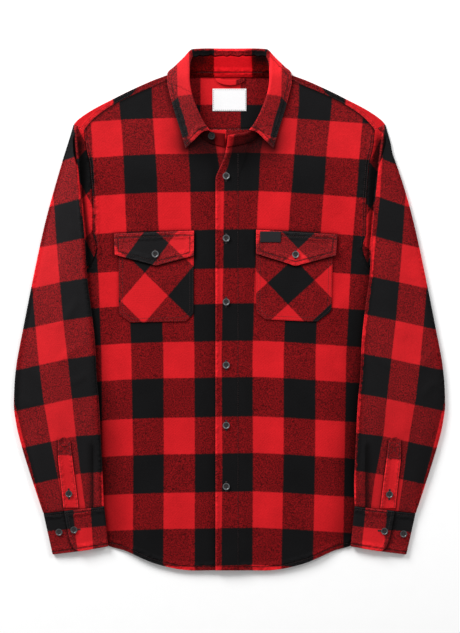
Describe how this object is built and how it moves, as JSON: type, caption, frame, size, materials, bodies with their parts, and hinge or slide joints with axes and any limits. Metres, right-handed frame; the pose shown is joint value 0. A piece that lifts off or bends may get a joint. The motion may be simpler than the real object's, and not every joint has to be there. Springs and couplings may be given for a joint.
{
  "type": "flannel shirt",
  "caption": "Long-sleeved buffalo-check flannel shirt, buttoned and laid flat on its back, with flapped chest pockets and a spread collar.",
  "frame": {"origin": "under the middle of the shirt's outline, on the surface it lies on", "axes": "+Y from the hem to the collar, +X to the wearer's left, +Z away from the surface"},
  "size_m": [0.664, 0.803, 0.0246],
  "materials": {
    "flannel": "brushed cotton twill, red and black buffalo check",
    "label_satin": "woven satin, bare",
    "tag_cloth": "plain woven tape, bare",
    "button": "moulded polyester, satin gloss"
  },
  "bodies": {
    "root": {"back": "flannel", "yoke": "flannel", "front_right": "flannel", "front_left": "flannel", "collar_stand": "flannel", "collar_fall": "flannel", "sleeve_right": "flannel", "sleeve_left": "flannel", "cuff_right": "flannel", "cuff_left": "flannel", "gauntlet_right": "flannel", "gauntlet_left": "flannel", "pocket_right": "flannel", "pocket_left": "flannel", "flap_right": "flannel", "flap_left": "flannel", "hanger_loop": "flannel", "neck_label": "label_satin", "pocket_tag": "tag_cloth", "button_front_1": "button", "button_front_2": "button", "button_front_3": "button", "button_front_4": "button", "button_front_5": "button", "button_front_6": "button", "button_stand": "button", "button_flap_right": "button", "button_flap_left": "button", "button_gauntlet_right": "button", "button_gauntlet_left": "button", "button_cuff_right_1": "button", "button_cuff_right_2": "button", "button_cuff_left_1": "button", "button_cuff_left_2": "button"}
  },
  "joints": []
}
